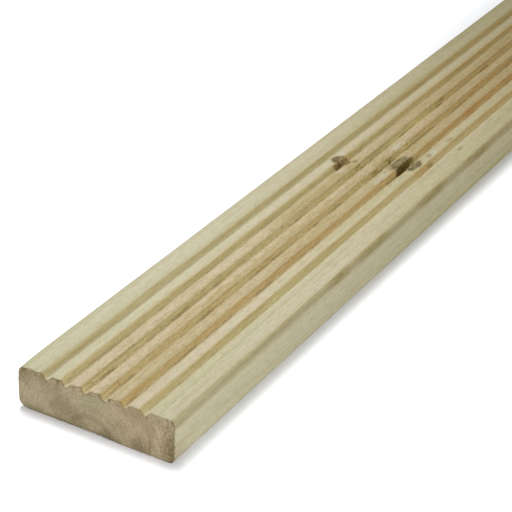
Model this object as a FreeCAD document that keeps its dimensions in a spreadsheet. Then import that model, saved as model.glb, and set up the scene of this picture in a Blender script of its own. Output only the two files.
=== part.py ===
"""Grooved softwood decking board, planed and grooved from one length of treated timber.

Millimetres. +X runs along the grain, +Y across the width and +Z up, out of the grooved face.
The origin is the middle of the plain underside, which lies on the joists.
"""

import FreeCAD
import Part
import Sketcher

import os

# Driving dimensions: alias, value in mm (or a count), and what it measures.
DIMENSIONS = [
    ("board_length", 1800, "length, sawn square at both ends"),
    ("board_width", 120, "width over the two planed edges"),
    ("board_thickness", 32, "underside to the tops of the ribs"),
    ("groove_count", 6, "grooves across the face"),
    ("groove_pitch", 15.1, "one groove's centre to the next"),
    ("groove_depth", 3.7, "rib top to groove floor"),
    ("groove_mouth", 6.2, "groove width at the face, before its shoulders are rounded"),
    ("groove_floor", 1.6, "groove width at its floor, before its roots are rounded"),
    ("shoulder_radius", 2.6, "rounding of a rib's top corners"),
    ("root_radius", 0.8, "rounding of a groove's bottom corners"),
    ("top_arris_radius", 3, "rounding of the two long edges of the grooved face"),
    ("bottom_arris_radius", 4, "rounding of the two long edges of the underside"),
]
ALIAS_COLUMN, VALUE_COLUMN, NOTE_COLUMN = "A", "B", "C"

TOLERANCE = 1e-4  # mm, for finding an edge by its place
VOLUME_TOLERANCE = 1e-6  # share of a volume, for checking a cut

# Sketcher's numbers for a line's two ends, for the sketch's own origin and for its horizontal axis.
START, END = 1, 2
ORIGIN = (-1, 1)
HORIZONTAL_AXIS = -1


def make_sheet(doc):
    """The driving dimensions, one row each, with an alias on every value."""
    sheet = doc.addObject("Spreadsheet::Sheet", "dimensions")
    for row, (alias, value, note) in enumerate(DIMENSIONS, start=1):
        sheet.set(f"{ALIAS_COLUMN}{row}", alias)
        sheet.set(f"{VALUE_COLUMN}{row}", str(value))
        sheet.set(f"{NOTE_COLUMN}{row}", note)
        sheet.setAlias(f"{VALUE_COLUMN}{row}", alias)
    doc.recompute()
    return sheet


def origin_feature(body, role):
    """A body's own origin plane or axis, by its role."""
    return next(feature for feature in body.Origin.OriginFeatures if feature.Role == role)


def section_sketch(body, name):
    """An empty sketch square to the grain: its x is the board's Y, and its y is the board's Z."""
    sketch = body.newObject("Sketcher::SketchObject", name)
    sketch.AttachmentSupport = [(origin_feature(body, "YZ_Plane"), "")]
    sketch.MapMode = "FlatFace"
    return sketch


def add_outline(sketch, corners):
    """Joins the corners with lines into a closed outline and returns the lines' numbers."""
    points = [FreeCAD.Vector(x, y, 0) for x, y in corners]
    lines = [
        sketch.addGeometry(Part.LineSegment(here, there), False)
        for here, there in zip(points, points[1:] + points[:1])
    ]
    for this_line, next_line in zip(lines, lines[1:] + lines[:1]):
        sketch.addConstraint(Sketcher.Constraint("Coincident", this_line, END, next_line, START))
    return lines


def add_size(sketch, name, formula, direction, start, end):
    """A named distance between two points, which starts as drawn and follows a formula of the cells."""
    drawn = sketch.getPoint(*end) - sketch.getPoint(*start)
    distance = {"DistanceX": drawn.x, "DistanceY": drawn.y}[direction]
    number = sketch.addConstraint(Sketcher.Constraint(direction, *start, *end, distance))
    sketch.renameConstraint(number, name)
    sketch.setExpression(f"Constraints.{name}", formula)


def make_blank(body, sheet):
    """The planed blank: a rectangle standing on the origin, carried along the grain."""
    side = sheet.board_width / 2
    face = sheet.board_thickness
    sketch = section_sketch(body, "blank_section")
    bottom, right, top, left = add_outline(sketch, [(-side, 0), (side, 0), (side, face), (-side, face)])
    sketch.addConstraint(Sketcher.Constraint("Symmetric", bottom, START, bottom, END, *ORIGIN))
    sketch.addConstraint(Sketcher.Constraint("Horizontal", bottom))
    sketch.addConstraint(Sketcher.Constraint("Horizontal", top))
    sketch.addConstraint(Sketcher.Constraint("Vertical", right))
    sketch.addConstraint(Sketcher.Constraint("Vertical", left))
    add_size(sketch, "width", "dimensions.board_width", "DistanceX", (bottom, START), (bottom, END))
    add_size(sketch, "thickness", "dimensions.board_thickness", "DistanceY", (right, START), (right, END))

    blank = body.newObject("PartDesign::Pad", "blank")
    blank.Profile = sketch
    blank.SideType = "Symmetric"
    blank.setExpression("Length", "dimensions.board_length")
    body.Document.recompute()
    return blank


def groove_centres(sheet):
    """Where the grooves run across the board, from its -Y side, spaced evenly about the middle."""
    first_centre = -(sheet.groove_count - 1) * sheet.groove_pitch / 2
    return [first_centre + step * sheet.groove_pitch for step in range(int(sheet.groove_count))]


def make_grooves(body, sheet):
    """The groove nearest the -Y side, tapered and cut from end to end, then stepped across the face."""
    centre = groove_centres(sheet)[0]
    face = sheet.board_thickness
    floor = face - sheet.groove_depth
    half_floor = sheet.groove_floor / 2
    half_mouth = sheet.groove_mouth / 2
    sketch = section_sketch(body, "groove_section")
    bottom, flank, mouth, _ = add_outline(
        sketch,
        [
            (centre - half_floor, floor),
            (centre + half_floor, floor),
            (centre + half_mouth, face),
            (centre - half_mouth, face),
        ],
    )
    middle_line = Part.LineSegment(FreeCAD.Vector(centre, 0, 0), FreeCAD.Vector(centre, face, 0))
    middle = sketch.addGeometry(middle_line, True)
    sketch.addConstraint(Sketcher.Constraint("PointOnObject", middle, START, HORIZONTAL_AXIS))
    sketch.addConstraint(Sketcher.Constraint("PointOnObject", middle, END, mouth))
    sketch.addConstraint(Sketcher.Constraint("Vertical", middle))
    sketch.addConstraint(Sketcher.Constraint("Symmetric", bottom, START, bottom, END, middle))
    sketch.addConstraint(Sketcher.Constraint("Symmetric", mouth, START, mouth, END, middle))
    first_centre = "(dimensions.groove_count - 1) * dimensions.groove_pitch / 2"
    add_size(sketch, "first_centre", first_centre, "DistanceX", (middle, START), ORIGIN)
    add_size(sketch, "face", "dimensions.board_thickness", "DistanceY", (middle, START), (middle, END))
    add_size(sketch, "depth", "dimensions.groove_depth", "DistanceY", (flank, START), (flank, END))
    add_size(sketch, "floor", "dimensions.groove_floor", "DistanceX", (bottom, START), (bottom, END))
    add_size(sketch, "mouth", "dimensions.groove_mouth", "DistanceX", (mouth, END), (mouth, START))

    groove = body.newObject("PartDesign::Pocket", "groove")
    groove.Profile = sketch
    groove.SideType = "Symmetric"
    groove.Type = "ThroughAll"
    body.Document.recompute()

    grooves = body.newObject("PartDesign::LinearPattern", "grooves")
    grooves.Originals = [groove]
    grooves.Direction = (origin_feature(body, "Y_Axis"), [""])
    grooves.Mode = "Spacing"
    grooves.setExpression("Offset", "dimensions.groove_pitch")
    grooves.setExpression("Occurrences", "dimensions.groove_count")
    body.Tip = grooves
    body.Document.recompute()
    return grooves


def groove_sides(sheet, groove_width):
    """Where both sides of every groove stand across the board, at the level where it is that wide."""
    return [centre + side * groove_width / 2 for centre in groove_centres(sheet) for side in (-1, 1)]


def edges_along_grain(shape, places, height):
    """Names of the edges that run the board's length at those places across it, at that height."""
    names = []
    for number, edge in enumerate(shape.Edges, start=1):
        ends = [vertex.Point for vertex in edge.Vertexes]
        level = all(abs(end.z - height) < TOLERANCE for end in ends)
        placed = any(all(abs(end.y - place) < TOLERANCE for end in ends) for place in places)
        if level and placed:
            names.append(f"Edge{number}")
    return names


def round_edges(body, name, radius_alias, places, height):
    """Rounds the edges that run along the grain at those places across the board, at that height."""
    base = body.Tip
    edges = edges_along_grain(base.Shape, places, height)
    if len(edges) != len(places):
        raise RuntimeError(f"{name}: found {len(edges)} edges, and there should be {len(places)}")
    fillet = body.newObject("PartDesign::Fillet", name)
    fillet.Base = (base, edges)
    fillet.setExpression("Radius", f"dimensions.{radius_alias}")
    body.Tip = fillet
    body.Document.recompute()


def make_board(doc, sheet):
    """The whole board: blank, grooves, rounded ribs and grooves, and eased long edges."""
    body = doc.addObject("PartDesign::Body", "decking_board")
    body.Label = "decking_board"
    blank = make_blank(body, sheet)
    grooves = make_grooves(body, sheet)

    groove_area = (sheet.groove_mouth + sheet.groove_floor) / 2 * sheet.groove_depth
    cut_away = sheet.groove_count * groove_area * sheet.board_length
    if abs(blank.Shape.Volume - cut_away - grooves.Shape.Volume) > VOLUME_TOLERANCE * blank.Shape.Volume:
        raise RuntimeError("the grooves did not cut the volume that their section takes")

    face = sheet.board_thickness
    floor = face - sheet.groove_depth
    board_sides = [-sheet.board_width / 2, sheet.board_width / 2]
    round_edges(body, "roots", "root_radius", groove_sides(sheet, sheet.groove_floor), floor)
    round_edges(body, "shoulders", "shoulder_radius", groove_sides(sheet, sheet.groove_mouth), face)
    round_edges(body, "top_arrises", "top_arris_radius", board_sides, face)
    round_edges(body, "bottom_arrises", "bottom_arris_radius", board_sides, 0)
    return body


def check_document(doc, pieces):
    """Stops unless every feature computed and every piece is one valid closed solid."""
    failed = [item.Name for item in doc.Objects if {"Invalid", "Error"} & set(item.State)]
    if failed:
        raise RuntimeError(f"these features failed: {failed}")
    for piece in pieces:
        shape = piece.Shape
        if shape.isNull() or not shape.isValid() or len(shape.Solids) != 1:
            raise RuntimeError(f"{piece.Label} is not one valid solid")


def main():
    doc = FreeCAD.newDocument("decking_board")
    sheet = make_sheet(doc)
    pieces = [make_board(doc, sheet)]
    doc.recompute()
    check_document(doc, pieces)
    os.makedirs("parts", exist_ok=True)
    for piece in pieces:
        piece.Shape.exportStep(f"parts/{piece.Label}.step")
        box = piece.Shape.BoundBox
        print(f"{piece.Label}: {box.XLength:.2f} x {box.YLength:.2f} x {box.ZLength:.2f} mm")


main()
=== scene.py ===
import math

import bpy
import numpy as np
from mathutils import Matrix, Vector


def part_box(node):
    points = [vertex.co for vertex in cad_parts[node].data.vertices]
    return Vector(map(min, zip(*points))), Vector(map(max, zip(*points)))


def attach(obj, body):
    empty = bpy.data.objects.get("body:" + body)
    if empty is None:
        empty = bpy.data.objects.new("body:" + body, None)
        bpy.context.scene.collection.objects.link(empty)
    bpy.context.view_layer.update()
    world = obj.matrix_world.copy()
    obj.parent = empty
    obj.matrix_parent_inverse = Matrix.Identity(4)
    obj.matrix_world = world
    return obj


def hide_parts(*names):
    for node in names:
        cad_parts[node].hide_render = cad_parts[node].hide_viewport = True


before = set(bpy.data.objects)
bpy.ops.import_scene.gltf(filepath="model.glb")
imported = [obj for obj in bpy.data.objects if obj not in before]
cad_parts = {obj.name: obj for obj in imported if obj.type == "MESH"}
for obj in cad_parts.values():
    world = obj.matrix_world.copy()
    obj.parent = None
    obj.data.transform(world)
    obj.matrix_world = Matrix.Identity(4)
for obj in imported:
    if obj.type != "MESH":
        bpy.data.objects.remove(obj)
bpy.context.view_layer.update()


# The board
# One length of pressure-treated pine, planed on four sides, with six grooves moulded along its face.
# Both ends are sawn square and the long edges are eased. Two knots come out through the face.

MM = 0.001
BOARD_LOW, BOARD_HIGH = (np.array(corner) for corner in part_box("decking_board"))
LENGTH, WIDTH, THICKNESS = BOARD_HIGH - BOARD_LOW
NEAR_END, FAR_END = BOARD_LOW[0], BOARD_HIGH[0]
GROOVE_COUNT = 6
GROOVE_PITCH = 15.1 * MM
GROOVE_DEPTH = 3.7 * MM
GROOVE_MOUTH = 6.2 * MM
GROOVE_FLOOR = 1.6 * MM
SHOULDER_RADIUS = 2.6 * MM
ROOT_RADIUS = 0.8 * MM
TOP_ARRIS = 3 * MM
BOTTOM_ARRIS = 4 * MM
GROOVED_HALF = 50 * MM  # the grooves lie within this of the middle, and the eased edges beyond it
GROOVE_CENTRES = ((GROOVE_COUNT - 1) / 2 - np.arange(GROOVE_COUNT)) * GROOVE_PITCH  # left to right

ARC_POINTS = 17  # an odd number, so that each arc has a middle point
FACE_POINTS, SIDE_POINTS = 132, 20
STEP_LENGTH, STEP_TURN = 1.6 * MM, math.radians(18)


def rounded_outline(corners, radii):
    """A closed outline whose corners are arcs. Each arc touches both sides of its corner, so it begins and
    ends radius / tan(half angle) from the corner, and its centre is radius / sin(half angle) along the
    bisector. Between, the end radii are blended by sin((1 - share) turn) and sin(share turn)."""
    before = np.roll(corners, 1, axis=0) - corners
    after = np.roll(corners, -1, axis=0) - corners
    before /= np.linalg.norm(before, axis=1, keepdims=True)
    after /= np.linalg.norm(after, axis=1, keepdims=True)
    half = np.arccos((before * after).sum(axis=1)) / 2
    bisector = before + after
    bisector /= np.linalg.norm(bisector, axis=1, keepdims=True)
    centres = corners + bisector * (radii / np.sin(half))[:, None]
    reach = (radii / np.tan(half))[:, None]
    first = corners + before * reach - centres
    last = corners + after * reach - centres
    turn = (math.pi - 2 * half)[:, None]
    share = np.linspace(0, 1, ARC_POINTS)
    first_part = np.sin((1 - share) * turn) / np.sin(turn)
    last_part = np.sin(share * turn) / np.sin(turn)
    spokes = first_part[..., None] * first[:, None] + last_part[..., None] * last[:, None]
    return (centres[:, None] + spokes).reshape(-1, 2)


def share_out(curve, count):
    """Moves along an open curve in equal steps of length / STEP_LENGTH + turn / STEP_TURN,
    so that round stretches get more points than straight ones."""
    runs = np.diff(curve, axis=0)
    lengths = np.linalg.norm(runs, axis=1)
    headings = np.unwrap(np.arctan2(runs[:, 1], runs[:, 0]))
    turns = np.abs(np.diff(headings, prepend=headings[0], append=headings[-1]))
    weights = lengths / STEP_LENGTH + (turns[:-1] + turns[1:]) / 2 / STEP_TURN
    travelled = np.concatenate([[0], np.cumsum(weights)])
    steps = np.linspace(0, travelled[-1], count)
    return np.stack([np.interp(steps, travelled, curve[:, axis]) for axis in (0, 1)], axis=1)


def section_curves():
    """The four curves of the section, as points (y, z) that run anticlockwise seen from +X: underside,
    left edge, grooved face and right edge. They meet in the middle of the eased edges, and the
    underside's points stand under the grooved face's."""
    side = WIDTH / 2
    groove = np.array(
        [
            (GROOVE_MOUTH / 2, THICKNESS),
            (GROOVE_FLOOR / 2, THICKNESS - GROOVE_DEPTH),
            (-GROOVE_FLOOR / 2, THICKNESS - GROOVE_DEPTH),
            (-GROOVE_MOUTH / 2, THICKNESS),
        ]
    )
    places = np.stack([GROOVE_CENTRES, np.zeros(GROOVE_COUNT)], axis=1)
    grooves = (groove[None] + places[:, None]).reshape(-1, 2)
    groove_radii = np.tile([SHOULDER_RADIUS, ROOT_RADIUS, ROOT_RADIUS, SHOULDER_RADIUS], GROOVE_COUNT)
    corners = np.concatenate([[(-side, 0), (side, 0), (side, THICKNESS)], grooves, [(-side, THICKNESS)]])
    radii = np.concatenate([[BOTTOM_ARRIS, BOTTOM_ARRIS, TOP_ARRIS], groove_radii, [TOP_ARRIS]])
    outline = rounded_outline(corners, radii)
    middles = np.arange(len(corners)) * ARC_POINTS + ARC_POINTS // 2
    low_right, low_left, high_left, high_right = middles[[0, 1, 2, -1]]
    underside = outline[low_right : low_left + 1]
    left = share_out(outline[low_left : high_left + 1], SIDE_POINTS)
    face = share_out(outline[high_left : high_right + 1], FACE_POINTS)
    right = share_out(np.concatenate([outline[high_right:], outline[: low_right + 1]]), SIDE_POINTS)
    under_y = face[::-1, 0] * underside[-1, 0] / face[0, 0]
    underside = np.stack([under_y, np.interp(under_y, underside[:, 0], underside[:, 1])], axis=1)
    return underside, left, face, right


# Places along the grain: the mesh is finest at the sawn ends and round the knots.
END_STEP, END_GROWTH = 0.35 * MM, 0.18
KNOT_STEP, KNOT_GROWTH = 1.2 * MM, 0.12
KNOT_STRETCH = (360 * MM, 424 * MM)
LONG_STEP = 10 * MM
FINE_STEPS = 20000  # for the integral


def stations():
    """Places along the grain. The step grows with the distance from an end or from the knots, up to
    LONG_STEP, and the places are even steps of the integral of 1 / step."""
    fine = np.linspace(NEAR_END, FAR_END, FINE_STEPS + 1)
    from_end = np.minimum(fine - NEAR_END, FAR_END - fine)
    before, after = NEAR_END + KNOT_STRETCH[0] - fine, fine - NEAR_END - KNOT_STRETCH[1]
    from_knots = np.maximum(np.maximum(before, after), 0)
    step = np.minimum(END_STEP + END_GROWTH * from_end, KNOT_STEP + KNOT_GROWTH * from_knots)
    step = np.minimum(step, LONG_STEP)
    passed = np.concatenate([[0], np.cumsum(np.diff(fine) * 2 / (step[1:] + step[:-1]))])
    return np.interp(np.linspace(0, passed[-1], int(passed[-1]) + 1), passed, fine)


# The knots, as ovals in mm: along from the near end, across from the middle, half length, half width, turn.
# The planer left grey discs of them on the ribs, and the cutters tore their dark hearts in the grooves.
KNOT_DISCS = [
    (382.3, 28.4, 6.4, 5.2),
    (404, -15.4, 13, 5.2),
    (406.3, -27.3, 9.9, 3.9),
    (385, 24.2, 5.5, 3.6),
]
KNOT_HEARTS = [(375, 23.7, 8, 2.6, math.radians(-9)), (402.5, -20, 16.6, 3.2, math.radians(7))]


def oval_distance(points, along, across, half_length, half_width, turn=0.0):
    """How far a point is from an oval's middle, seen from above, in half sizes: 1 on its outline.
    The offset from the middle is turned back into the oval's own axes first."""
    off_along, off_across = (points[..., 0] - NEAR_END) / MM - along, points[..., 1] / MM - across
    lengthways = off_along * math.cos(turn) + off_across * math.sin(turn)
    sideways = off_across * math.cos(turn) - off_along * math.sin(turn)
    return np.hypot(lengthways / half_length, sideways / half_width)


def waves(points, size, seed, count=28):
    """Smooth seeded relief about -1 to 1: the sum of plane waves cos(2 pi (x / a + y / b + z / b) + phase),
    whose lengths along and across the grain lie within a factor of two of the size."""
    rng = np.random.default_rng(seed)
    along = rng.choice([-1, 1], count) / (size[0] * 2 ** rng.uniform(-1, 1, count))
    angle = rng.uniform(0, 2 * math.pi, count)
    across = 1 / (size[1] * 2 ** rng.uniform(-1, 1, count))
    rates = np.stack([along, across * np.cos(angle), across * np.sin(angle)], axis=1)
    phases = rng.uniform(0, 2 * math.pi, count)
    return np.cos(2 * math.pi * (points @ rates.T) + phases).sum(axis=-1) / math.sqrt(2 * count)


def rise(value, low, high):
    """0 below low, 1 above high, and 3 t^2 - 2 t^3 between."""
    t = np.clip((value - low) / (high - low), 0, 1)
    return t * t * (3 - 2 * t)


def hump(value, middle, half_width):
    """1 at the middle, and exp(-((value - middle) / half width)^2) on both sides."""
    return np.exp(-(((value - middle) / half_width) ** 2))


# Relief, all of it inwards from the CAD section. A rise gives the heights of the waves where they begin to
# cut and where they cut in full. Round the knots, a reach is in half sizes of the oval.
FACE_LEVEL = THICKNESS - GROOVE_DEPTH - 1 * MM  # what lies higher is the grooved face
WAVER, WAVER_SIZE = 0.10 * MM, (220 * MM, 18 * MM)
FIBRE, FIBRE_SIZE = 0.06 * MM, (130 * MM, 2.4 * MM)
TEAR, TEAR_SIZE, TEAR_RISE = 0.30 * MM, (26 * MM, 3 * MM), (0.35, 1.4)
KNOT_CRACK, CRACK_HALF = 0.35 * MM, 0.1
KNOT_RUFFLE, RUFFLE_REACH = 0.35 * MM, (1.0, 1.9)
RUFFLE_SIZE, RUFFLE_RISE = (5 * MM, 3 * MM), (-0.2, 1.2)
KNOT_HOLLOW, HOLLOW_REACH, HOLLOW_RUFFLE = 1.3 * MM, (0.55, 1.0), 0.4
END_WEAR, END_WEAR_REACH = 0.5 * MM, 0.5 * MM
END_WEAR_SIZE, END_WEAR_RISE = (4 * MM, 3 * MM), (-0.2, 1.3)
RAGGED, RAGGED_BELOW, RAGGED_REACH = 0.7 * MM, 0.15 * MM, 1.6 * MM
RAGGED_SIZE, RAGGED_RISE = (9 * MM, 3.2 * MM), (-0.3, 1.2)
WORN_BACK, WORN_BACK_HEIGHT, WORN_BACK_ACROSS = 1.2 * MM, 6 * MM, (-25 * MM, 5 * MM)
SAW_MARK, SAW_PITCH, SAW_SLANT = 0.05 * MM, 2.6 * MM, math.radians(62)
END_ROUGHNESS, END_SIZE = 0.12 * MM, 6 * MM
RIM_SHARE = 0.11  # of an end's width and height, over which its broken rim goes flat
# The near end's worn left corners, upper and lower: height, depth of the wear, its half size, its reach.
WORN_CORNERS = [(THICKNESS, 1.0 * MM, 3.2 * MM, 9 * MM), (0, 1.0 * MM, 5.0 * MM, 12 * MM)]
# Chips out of the near end's upper edge, in mm: across, half width and depth.
CHIPS = [(34.5, 1.6, 0.9), (19, 2.2, 1.2), (16, 1.2, 0.8), (3.6, 1.6, 0.9), (-14, 1.8, 0.7)]
CHIP_REACH = 1.6 * MM


def board_relief(points, groove):
    """How deep each point of the long faces lies under the CAD section, the sum of: waviness, fibres, torn
    grain in the grooves, the knots' hollows, cracks and ruffled grain, and the wear and chips of the ends,
    which die away by exp(-distance / reach)."""
    relief = WAVER * (1 + waves(points, WAVER_SIZE, seed=11)) / 2
    relief += FIBRE * (1 + waves(points, FIBRE_SIZE, seed=12)) / 2
    relief += TEAR * groove * rise(waves(points, TEAR_SIZE, seed=13), *TEAR_RISE)
    on_face = points[..., 2] > FACE_LEVEL
    ruffled = rise(waves(points, RUFFLE_SIZE, seed=16), *RUFFLE_RISE)
    for disc in KNOT_DISCS:
        distance = oval_distance(points, *disc)
        relief += KNOT_CRACK * on_face * hump(distance, 1, CRACK_HALF)
        relief += KNOT_RUFFLE * on_face * ruffled * (1 - rise(distance, *RUFFLE_REACH))
    for heart in KNOT_HEARTS:
        hollow = 1 - rise(oval_distance(points, *heart), *HOLLOW_REACH)
        relief += KNOT_HOLLOW * on_face * hollow * (1 - HOLLOW_RUFFLE + HOLLOW_RUFFLE * ruffled)
    from_end = np.minimum(points[..., 0] - NEAR_END, FAR_END - points[..., 0])
    uneven = rise(waves(points, END_WEAR_SIZE, seed=14), *END_WEAR_RISE)
    relief += END_WEAR * np.exp(-from_end / END_WEAR_REACH) * uneven
    for height, wear, half_size, reach in WORN_CORNERS:
        to_corner = np.hypot(points[..., 1] - WIDTH / 2, points[..., 2] - height) / half_size
        relief += wear * np.exp(-(to_corner**2) - (points[..., 0] - NEAR_END) / reach)
    for across, half_width, depth in CHIPS:
        off_middle = (points[..., 1] / MM - across) / half_width
        back = (points[..., 0] - NEAR_END) / CHIP_REACH
        relief += depth * MM * on_face * np.exp(-(off_middle**2) - back)
    return np.maximum(relief, 0)


def broken_back(points):
    """How far the sawn edge is broken back along the grain: waves round the outline, dying away by
    exp(-distance / RAGGED_REACH) from the end. The near end's lower edge is also worn back on the left."""
    outline = points * np.array([0, 1, 1])
    uneven = rise(waves(outline, RAGGED_SIZE, seed=17), *RAGGED_RISE)
    ragged = np.where(points[..., 2] > FACE_LEVEL, RAGGED, RAGGED_BELOW) * uneven
    worn = WORN_BACK * rise(points[..., 1], *WORN_BACK_ACROSS)
    worn *= 1 - rise(points[..., 2], 0, WORN_BACK_HEIGHT)
    at_near = np.exp(-(points[..., 0] - NEAR_END) / RAGGED_REACH)
    at_far = np.exp(-(FAR_END - points[..., 0]) / RAGGED_REACH)
    return (ragged + worn) * at_near - ragged * at_far


def rim_sides(rim):
    """The four curves of an end's rim: under and over from right to left, then left and right upwards."""
    under, over = rim[:FACE_POINTS], rim[FACE_POINTS + SIDE_POINTS - 2 :][:FACE_POINTS][::-1]
    left, right = rim[FACE_POINTS - 1 :][:SIDE_POINTS], rim[np.arange(0, -SIDE_POINTS, -1)]
    return under, over, left, right


def end_patch(rim, end, inwards):
    """One sawn end, from the rim's four curves, as a grid with u across from right to left and v up: a
    Coons patch, (1 - v) under + v over + (1 - u) right + u left, less the four corners blended. Along the
    grain the shares fall from 1 on a curve to 0 at RIM_SHARE, so the middle is flat. The saw pushes it in:
    cosine ridges across the saw's slant, and waves for the rough end grain."""
    under, over, left, right = rim_sides(rim)
    u = ((under[:, 1] - under[0, 1]) / (under[-1, 1] - under[0, 1]))[:, None, None]
    v = ((left[:, 2] - left[0, 2]) / (left[-1, 2] - left[0, 2]))[None, :, None]
    flat = np.array([end, 0, 0])
    near_rim = [1 - rise(share, 0, RIM_SHARE) for share in (u, 1 - u, v, 1 - v)]
    from_right, from_left, from_under, from_over = (
        np.concatenate([near, straight, straight], axis=-1)
        for near, straight in zip(near_rim, (1 - u, u, 1 - v, v))
    )
    under, over, left, right = under - flat, over - flat, left - flat, right - flat
    grid = from_under * under[:, None] + from_over * over[:, None]
    grid += from_right * right[None]
    grid += from_left * left[None]
    grid -= from_right * (from_under * under[0] + from_over * over[0])
    grid -= from_left * (from_under * under[-1] + from_over * over[-1])
    grid += flat
    across_saw = grid[..., 1] * math.cos(SAW_SLANT) + grid[..., 2] * math.sin(SAW_SLANT)
    depth = SAW_MARK * (1 + np.cos(2 * math.pi * across_saw / SAW_PITCH)) / 2
    depth += END_ROUGHNESS * (1 + waves(grid, (END_SIZE, END_SIZE), seed=15)) / 2
    grid[..., 0] = np.clip(grid[..., 0] + inwards * np.maximum(depth, 0), NEAR_END, FAR_END)
    return grid


def end_numbers(rim, first_inner):
    """The vertex numbers of an end's grid: the rim's on its four edges, and new ones inside."""
    index = np.empty((FACE_POINTS, SIDE_POINTS), int)
    inside = index[1:-1, 1:-1]
    inside[:] = first_inner + np.arange(inside.size).reshape(inside.shape)
    index[:, 0], index[:, -1], index[-1, :], index[0, :] = rim_sides(rim)
    return index


def grid_quads(index):
    """The four corners of every cell of a grid of vertex numbers."""
    cells = [index[:-1, :-1], index[1:, :-1], index[1:, 1:], index[:-1, 1:]]
    return np.stack(cells, axis=-1).reshape(-1, 4)


# What the moulder's cutters left, and painted light and shade, in spans from a groove's centre to the left
# and in
# depths under the face: the cut flank, its lower part with painted light, its shoulder and root with
# painted shade, the ribs, and the far lip and the groove's floor with painted light and a painted
# highlight.
FLANK_FOOT, FLANK_TOP = (0.4 * MM, 1.9 * MM), (3.6 * MM, 5.4 * MM)
CUT_FOOT = (-0.2 * MM, 0.3 * MM)
PAINTED_LIGHT_FOOT = (0.6 * MM, 1.3 * MM)
PAINTED_LIGHT_SHARES = [(0.62, (0.6 * MM, 2.4 * MM)), (0.38, (1.9 * MM, 3.1 * MM))]
SHOULDER_AT, SHOULDER_HALF = 3.7 * MM, 1.0 * MM
ROOT_FOOT, ROOT_DEPTH = (0.4 * MM, 0.9 * MM), (2.7 * MM, 3.2 * MM)
RIB_SIDE = (3.2 * MM, 4.6 * MM)
LIP_AT, LIP_HALF = -2.9 * MM, 1.2 * MM
BED_DEPTH = (3.1 * MM, 3.6 * MM)
EASED_ACROSS, EASED_DEPTH = (56.4 * MM, 58.2 * MM), (4.6 * MM, 7 * MM)
LEFT_EASED = 0.3  # how much of the right edge's shade the left edge has

# The section's points, and what the cutters left at each of them, as shares from 0 to 1.
ring = np.concatenate([curve[:-1] for curve in section_curves()])
off_middle, depth_at = np.abs(ring[:, 0]), THICKNESS - ring[:, 1]
upper = depth_at < THICKNESS / 2
inner, outer = upper & (off_middle < GROOVED_HALF), upper & (off_middle > GROOVED_HALF)
nearest_groove = np.abs(ring[:, :1] - GROOVE_CENTRES).argmin(axis=1)
from_groove = ring[:, 0] - GROOVE_CENTRES[nearest_groove]  # positive to the left
under_shoulder = 1 - rise(from_groove, *FLANK_TOP)
groove = under_shoulder * rise(from_groove, *FLANK_FOOT) * inner
cut = under_shoulder * rise(from_groove, *CUT_FOOT) * inner
# Painted light on the flank's lower part, which lies in shade.
deep = sum(share * rise(depth_at, *depths) for share, depths in PAINTED_LIGHT_SHARES)
deep *= rise(from_groove, *PAINTED_LIGHT_FOOT) * inner
# Painted shade on the shoulder, which faces away from the light.
shoulder = hump(from_groove, SHOULDER_AT, SHOULDER_HALF) * inner
# Painted shade at the root, where the cracks lie too.
root = rise(depth_at, *ROOT_DEPTH) * rise(from_groove, *ROOT_FOOT) * inner
between = off_middle < np.abs(GROOVE_CENTRES).max()
rib = rise(np.abs(from_groove), *RIB_SIDE) * between * inner
# Painted light on the groove's floor, and a painted highlight on the far lip.
on_bed = rise(depth_at, *BED_DEPTH) * (1 - rise(from_groove, *ROOT_FOOT))
lip = np.maximum(hump(from_groove, LIP_AT, LIP_HALF), on_bed) * inner
eased = rise(off_middle, *EASED_ACROSS) * (1 - rise(depth_at, *EASED_DEPTH)) * outer
eased *= np.where(ring[:, 0] < 0, 1, LEFT_EASED)

tangent = np.roll(ring, -1, axis=0) - np.roll(ring, 1, axis=0)
outward = np.stack([tangent[:, 1], -tangent[:, 0]], axis=1)
outward /= np.linalg.norm(outward, axis=1, keepdims=True)
along = stations()
skin = np.empty((len(along), len(ring), 3))
skin[..., 0] = along[:, None]
skin[..., 1:] = ring
shift_back = broken_back(skin)
skin[..., 1:] -= board_relief(skin, groove)[..., None] * outward
skin[..., 0] += shift_back

near_grid, far_grid = end_patch(skin[0], NEAR_END, 1), end_patch(skin[-1], FAR_END, -1)
near_inside, far_inside = near_grid[1:-1, 1:-1].reshape(-1, 3), far_grid[1:-1, 1:-1].reshape(-1, 3)
skin_index = np.arange(skin.shape[0] * skin.shape[1]).reshape(skin.shape[:2])
near_index = end_numbers(skin_index[0], skin_index.size)
far_index = end_numbers(skin_index[-1], skin_index.size + len(near_inside))
board_points = np.concatenate([skin.reshape(-1, 3), near_inside, far_inside])
long_quads = grid_quads(np.concatenate([skin_index, skin_index[:, :1]], axis=1))[:, ::-1]
near_quads, far_quads = grid_quads(near_index)[:, ::-1], grid_quads(far_index)
board_quads = np.concatenate([long_quads, near_quads, far_quads])

SHARP_ANGLE = math.radians(45)
board_mesh = bpy.data.meshes.new("grooved_board")
board_mesh.from_pydata(board_points.tolist(), [], board_quads.tolist())
board_mesh.update()
board_mesh.polygons.foreach_set("use_smooth", np.ones(len(board_quads), bool))
sawn = (np.arange(len(board_quads)) >= len(long_quads)).astype(np.int32)
board_mesh.polygons.foreach_set("material_index", sawn)
board_mesh.set_sharp_from_angle(angle=SHARP_ANGLE)
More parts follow.
